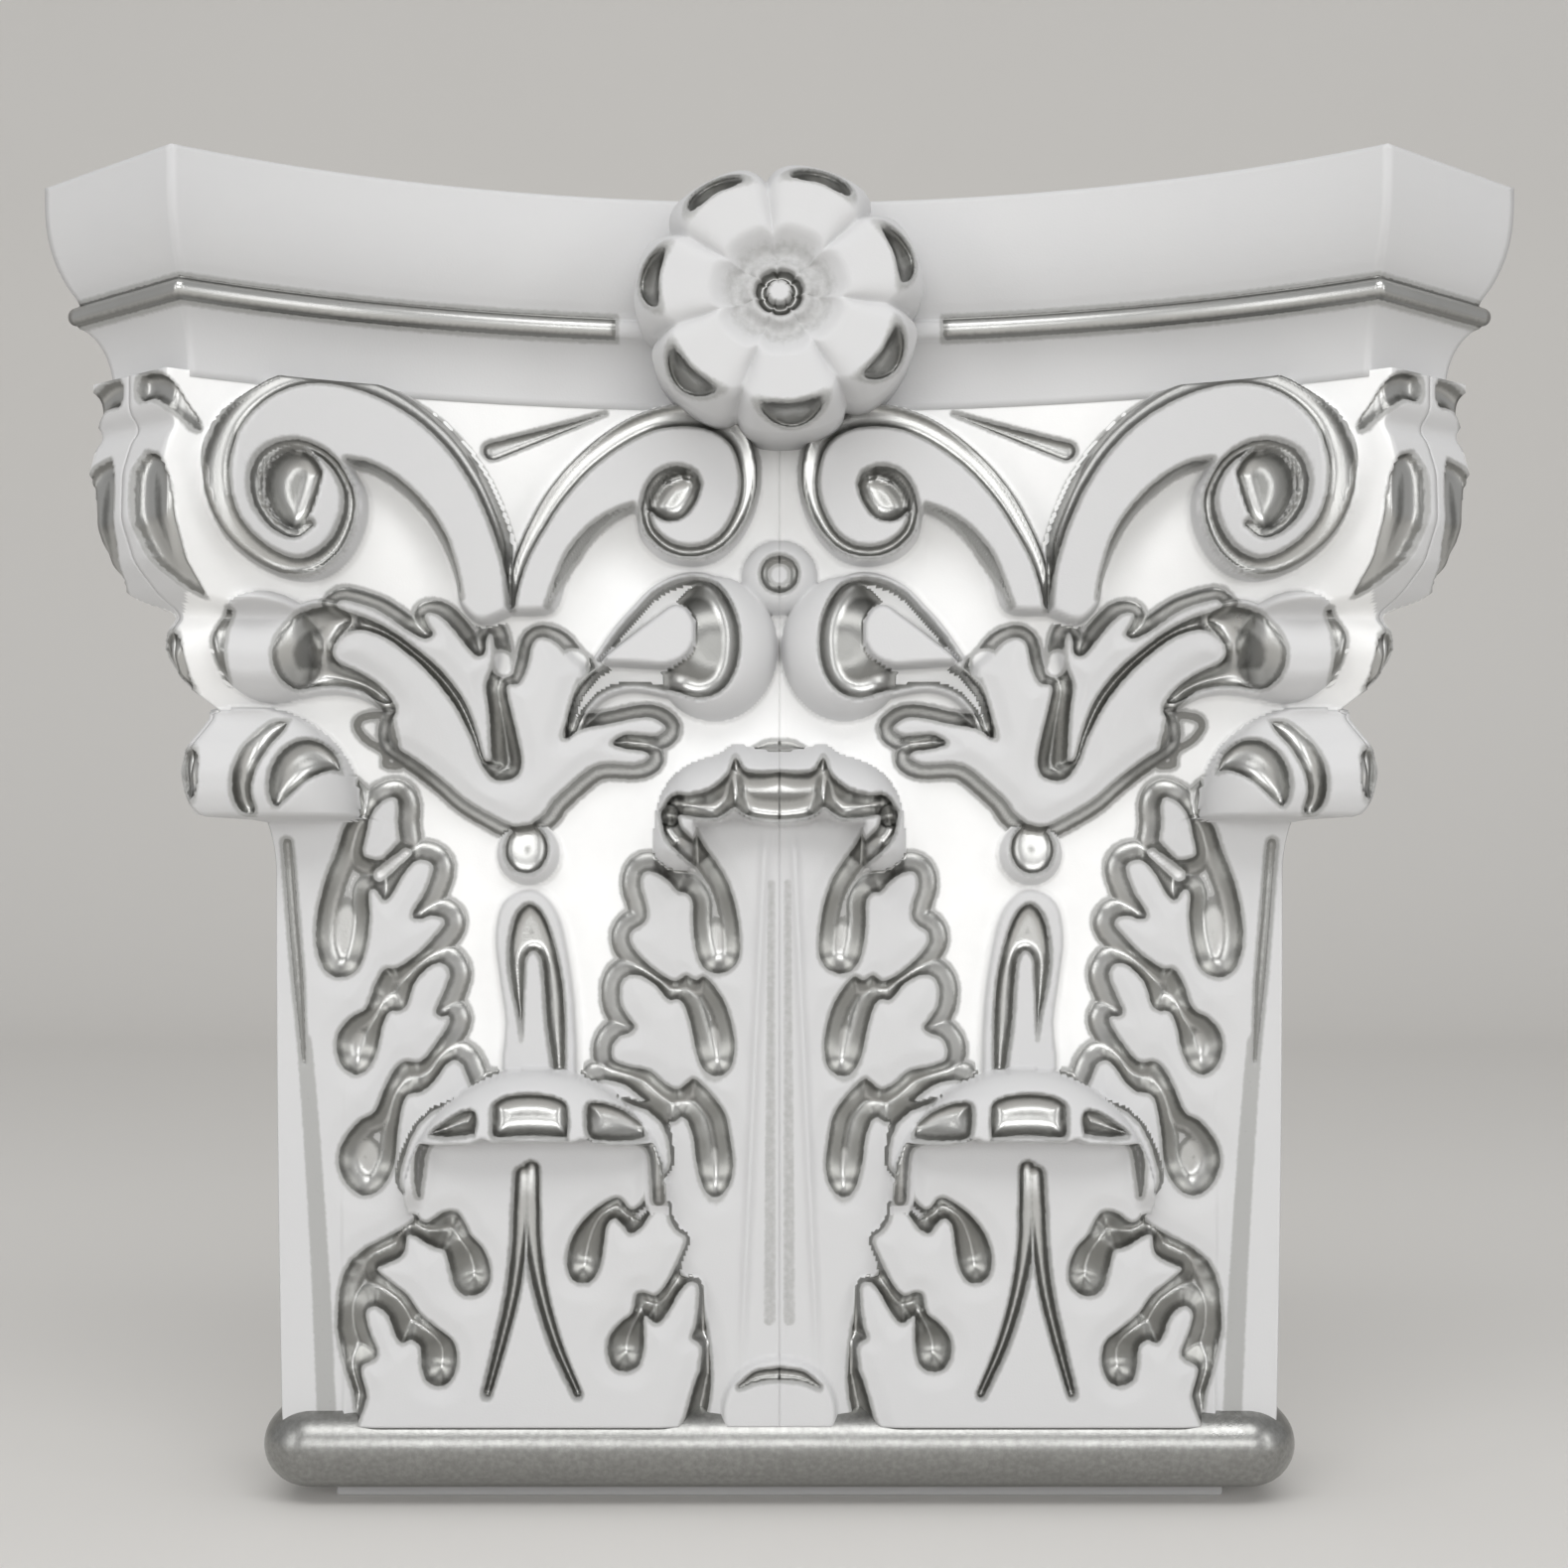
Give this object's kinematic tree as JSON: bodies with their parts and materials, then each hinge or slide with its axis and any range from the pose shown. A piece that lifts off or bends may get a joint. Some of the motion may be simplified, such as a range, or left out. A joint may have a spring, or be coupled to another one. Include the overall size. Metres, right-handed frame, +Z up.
{
  "type": "pilaster capital",
  "caption": "Cast Corinthian pilaster capital with leaves, scrolls, a rosette on its moulded slab and a silver-painted foot ring.",
  "frame": {"origin": "middle of the capital's footprint, on the plane of its underside", "axes": "+Z up, the carved face looks along -Y, the flat back that meets the wall looks along +Y"},
  "size_m": [0.2896, 0.095, 0.2675],
  "materials": {
    "cast_white": "smooth white casting with a soft sheen, its hollows, leaf edges and foot ring picked out in bright silver paint"
  },
  "bodies": {
    "root": {"capital": "cast_white"}
  },
  "joints": []
}
